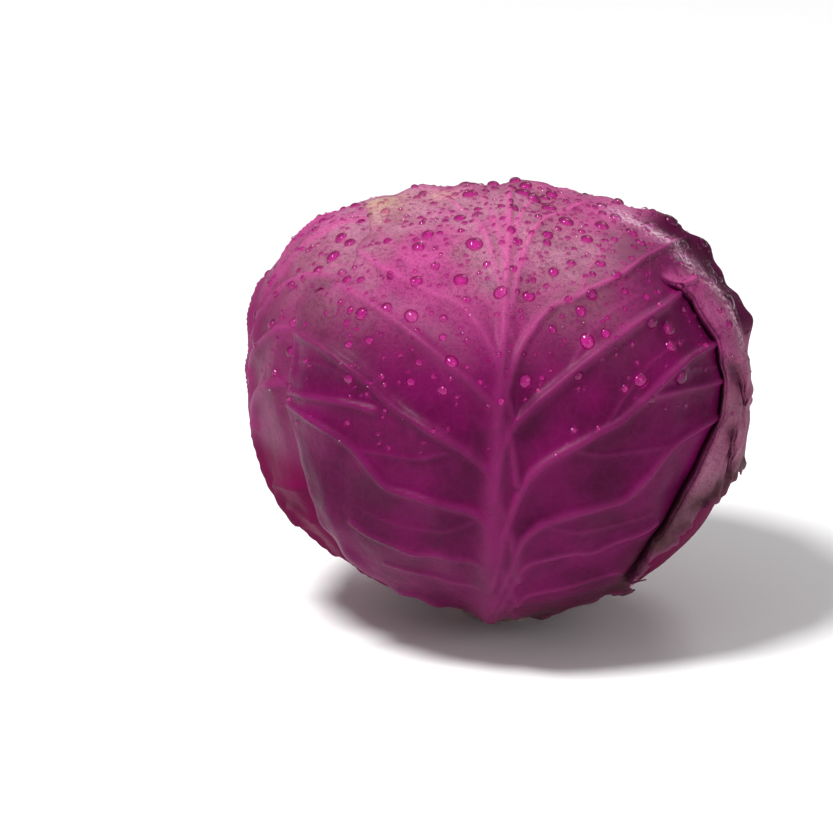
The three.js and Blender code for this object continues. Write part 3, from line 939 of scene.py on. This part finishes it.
def water_material():
    """Water beads that lens the leaf under them, and let lamp light through to it."""
    n = Nodes("water")
    # painted shade: each bead's colour darkens towards its rim
    rim = n.spread(n.node("LayerWeight", Blend=0.5).outputs["Facing"], 0.1, 0.5)
    tint_and_rim_shade = n.mix(rim, (1.0, 0.86, 0.97, 1.0), (0.2, 0.01, 0.12, 1.0))
    water = n.node("BsdfPrincipled", Base_Color=tint_and_rim_shade, Roughness=0.02, IOR=1.333)
    water.inputs["Transmission Weight"].default_value = 1.0
    clear = n.node("BsdfTransparent", Color=(0.9, 0.62, 0.82, 1.0))
    path = n.node("LightPath")
    mixed = n.node("MixShader")
    n.put(mixed.inputs[0], path.outputs["Is Shadow Ray"])
    n.put(mixed.inputs[1], water.outputs[0])
    n.put(mixed.inputs[2], clear.outputs[0])
    return n.finish(mixed.outputs[0])


# Other pieces


def make_stem(material):
    """The stem: a slightly uneven round stub, cut flat, that narrows upwards inside the head."""
    low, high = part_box("stem")
    tall = (high.z - low.z) / MM
    around = np.linspace(0, 2 * math.pi, STEM_SIDES, endpoint=False)
    rings = []
    for radius, z in STEM_PROFILE:
        wobble = 1 + (0.012 * np.sin(3 * around + 0.4) + 0.008 * np.sin(7 * around)) * min(1.0, radius / 12)
        height = np.full(around.shape, float(z))
        across = radius * wobble * np.cos(around)
        rings.append(np.stack([across, radius * wobble * np.sin(around), height], axis=-1))
    points = np.vstack([[0, 0, 0], *rings, [0, 0, tall]])
    count = len(around)
    turn = np.arange(count)
    after = (turn + 1) % count
    faces = [np.stack([np.zeros(count, int), 1 + after, 1 + turn], axis=-1)]
    for i in range(len(rings) - 1):
        a, b = 1 + i * count, 1 + (i + 1) * count
        faces.append(np.stack([a + turn, a + after, b + after, b + turn], axis=-1))
    last = 1 + (len(rings) - 1) * count
    faces.append(np.stack([last + turn, last + after, np.full(count, len(points) - 1)], axis=-1))
    piece = new_object("cut_stem", points * MM, faces)
    piece.data.materials.append(material)
    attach(piece, "root")
    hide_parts("stem")


def surface_tree(pieces):
    """The surfaces of several pieces as one tree that rays can be cast at."""
    points = []
    faces = []
    for piece in pieces:
        offset = len(points)
        points.extend(v.co.copy() for v in piece.data.vertices)
        faces.extend([i + offset for i in p.vertices] for p in piece.data.polygons)
    return BVHTree.FromPolygons(points, faces)


def drop_spots(rng, count, least, most, taken):
    """Random places, thickest on the crown, that keep clear of the drops already placed."""
    spots = []
    tries = 0
    while len(spots) < count and tries < count * DROP_TRIES:
        tries += 1
        up = rng.uniform(DROP_LOWEST, 1.0)
        turn = rng.uniform(0, 2 * math.pi)
        if rng.uniform() > lerp(DROP_SHARE_LOW, 1.0, max(0.0, up) ** 1.3):
            continue
        level = math.sqrt(1 - up * up)
        aim = np.array([level * math.cos(turn), level * math.sin(turn), up])
        size = least + (most - least) * rng.uniform() ** 1.6
        if taken:
            others = np.array(taken)
            far = np.linalg.norm(others[:, :3] - aim, axis=1) * HEAD_HALF_DEPTH
            if (far < DROP_SPACING * (others[:, 3] + size)).any():
                continue
        taken.append((*aim, size))
        spots.append((aim, size))
    return spots


def drop_dome(rng, size, rings, around):
    """A drop's bead on its own plane: wider than it is tall, with a slightly uneven outline."""
    turn = np.linspace(0, 2 * math.pi, around, endpoint=False)
    outline = 1 + rng.uniform(0, 0.1) * np.sin(2 * turn + rng.uniform(0, 6))
    outline = outline + rng.uniform(0, 0.05) * np.sin(3 * turn)
    tall = rng.uniform(0.5, 0.68)
    points = [np.array([[0, 0, tall * size]])]
    for i in range(1, rings + 1):
        slope = (i / rings) * DROP_EDGE_SLOPE
        reach = math.sin(slope) * size
        height = np.full(around, tall * size * math.cos(slope))
        ring = [reach * outline * np.cos(turn), reach * outline * np.sin(turn), height]
        points.append(np.stack(ring, axis=-1))
    points.append(np.array([[0, 0, tall * size * math.cos(DROP_EDGE_SLOPE)]]))
    points = np.vstack(points)
    step = np.arange(around)
    after = (step + 1) % around
    faces = [np.stack([np.zeros(around, int), 1 + step, 1 + after], axis=-1)]
    quads = []
    for i in range(rings - 1):
        a, b = 1 + i * around, 1 + (i + 1) * around
        quads.append(np.stack([a + step, b + step, b + after, a + after], axis=-1))
    last = 1 + (rings - 1) * around
    faces.append(np.stack([last + step, np.full(around, len(points) - 1), last + after], axis=-1))
    return points, faces, quads


def make_drops(leaves, material):
    """All the water on the head as one piece: beads of every size, down to a mist of fine ones."""
    tree = surface_tree(leaves)
    rng = np.random.default_rng(DROP_SEED)
    taken = []
    spots = []
    for count, least, most, rings, around in DROP_KINDS:
        spots += [(aim, size, rings, around) for aim, size in drop_spots(rng, count, least, most, taken)]
    points = []
    faces = []
    total = 0
    centre = Vector((0, 0, HEAD_CENTRE_Z * MM))
    beads = []
    for aim, size, rings, around in spots:
        start = centre + Vector(aim) * DROP_START
        spot, normal, _, _ = tree.ray_cast(start, -Vector(aim))
        if spot is None:
            continue
        dome, caps, quads = drop_dome(rng, size, rings, around)
        turn = Vector((0, 0, 1)).rotation_difference(normal).to_matrix()
        turned = dome @ np.array(turn).T * MM + np.array(spot)
        if size > WET_FROM:
            beads.append((np.array(spot), size))
        points.append(turned)
        faces.extend(group + total for group in caps + quads)
        total += len(dome)
    piece = new_object("water_drops", np.vstack(points), faces)
    piece.data.materials.append(material)
    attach(piece, "root")
    wet_leaves(leaves, beads)


# Stage, light and camera


def make_floor():
    n = Nodes("pale floor")
    shader = n.node("BsdfPrincipled", Base_Color=(0.93, 0.93, 0.93, 1.0), Roughness=0.9)
    bpy.ops.mesh.primitive_plane_add(size=FLOOR_WIDTH, location=(0, 0, 0))
    floor = bpy.context.object
    floor.name = "floor"
    floor.data.materials.append(n.finish(shader.outputs[0]))


def add_lamp(name, place, size, power, target):
    data = bpy.data.lights.new(name, "AREA")
    data.shape = "DISK"
    data.size = size
    data.energy = power
    lamp = bpy.data.objects.new(name, data)
    lamp.location = place
    lamp.rotation_euler = (target - Vector(place)).to_track_quat("-Z", "Y").to_euler()
    bpy.context.scene.collection.objects.link(lamp)


def make_light(middle):
    world = bpy.data.worlds.new("studio")
    world.use_nodes = True
    background = world.node_tree.nodes["Background"]
    background.inputs["Color"].default_value = (1.0, 1.0, 1.0, 1.0)
    background.inputs["Strength"].default_value = WORLD_STRENGTH
    bpy.context.scene.world = world
    for name, place, size, power in LAMPS:
        add_lamp(name, place, size, power, middle)


def make_camera(middle):
    """A long lens at the height of a table-top photograph, with the head right of the frame's centre."""
    out = Vector((0, -math.cos(CAMERA_ELEVATION), math.sin(CAMERA_ELEVATION)))
    aim = middle + Vector((-AIM_LEFT, 0, -AIM_DOWN / math.cos(CAMERA_ELEVATION))) * MM
    data = bpy.data.cameras.new("camera")
    data.sensor_width = CAMERA_SENSOR
    data.lens = CAMERA_SENSOR * CAMERA_DISTANCE / (FRAME_WIDTH * MM)
    data.clip_end = 50.0
    camera = bpy.data.objects.new("camera", data)
    camera.location = aim + out * CAMERA_DISTANCE
    camera.rotation_euler = (aim - camera.location).to_track_quat("-Z", "Y").to_euler()
    bpy.context.scene.collection.objects.link(camera)
    bpy.context.scene.camera = camera


def make_head():
    front = leaf_material("front leaf", FRONT_LOOK)
    outer = leaf_material("outer leaf", OUTER_LOOK)
    fresh = leaf_material("sheltered leaf", SHELTERED_LOOK)
    materials = [front, outer, outer] + [fresh] * (len(LEAVES) - 3)
    made = [make_leaf(leaf, material) for leaf, material in zip(LEAVES, materials)]
    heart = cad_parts["heart"]
    heart.data.materials.clear()
    heart.data.materials.append(fresh)
    make_stem(stem_material())
    make_drops(made[:LEAVES_THAT_HOLD_DROPS], water_material())


MIDDLE = Vector((0, 0, HEAD_CENTRE_Z * MM))
make_camera(MIDDLE)
make_light(MIDDLE)
make_floor()
make_head()
bpy.context.scene.view_settings.view_transform = "Standard"
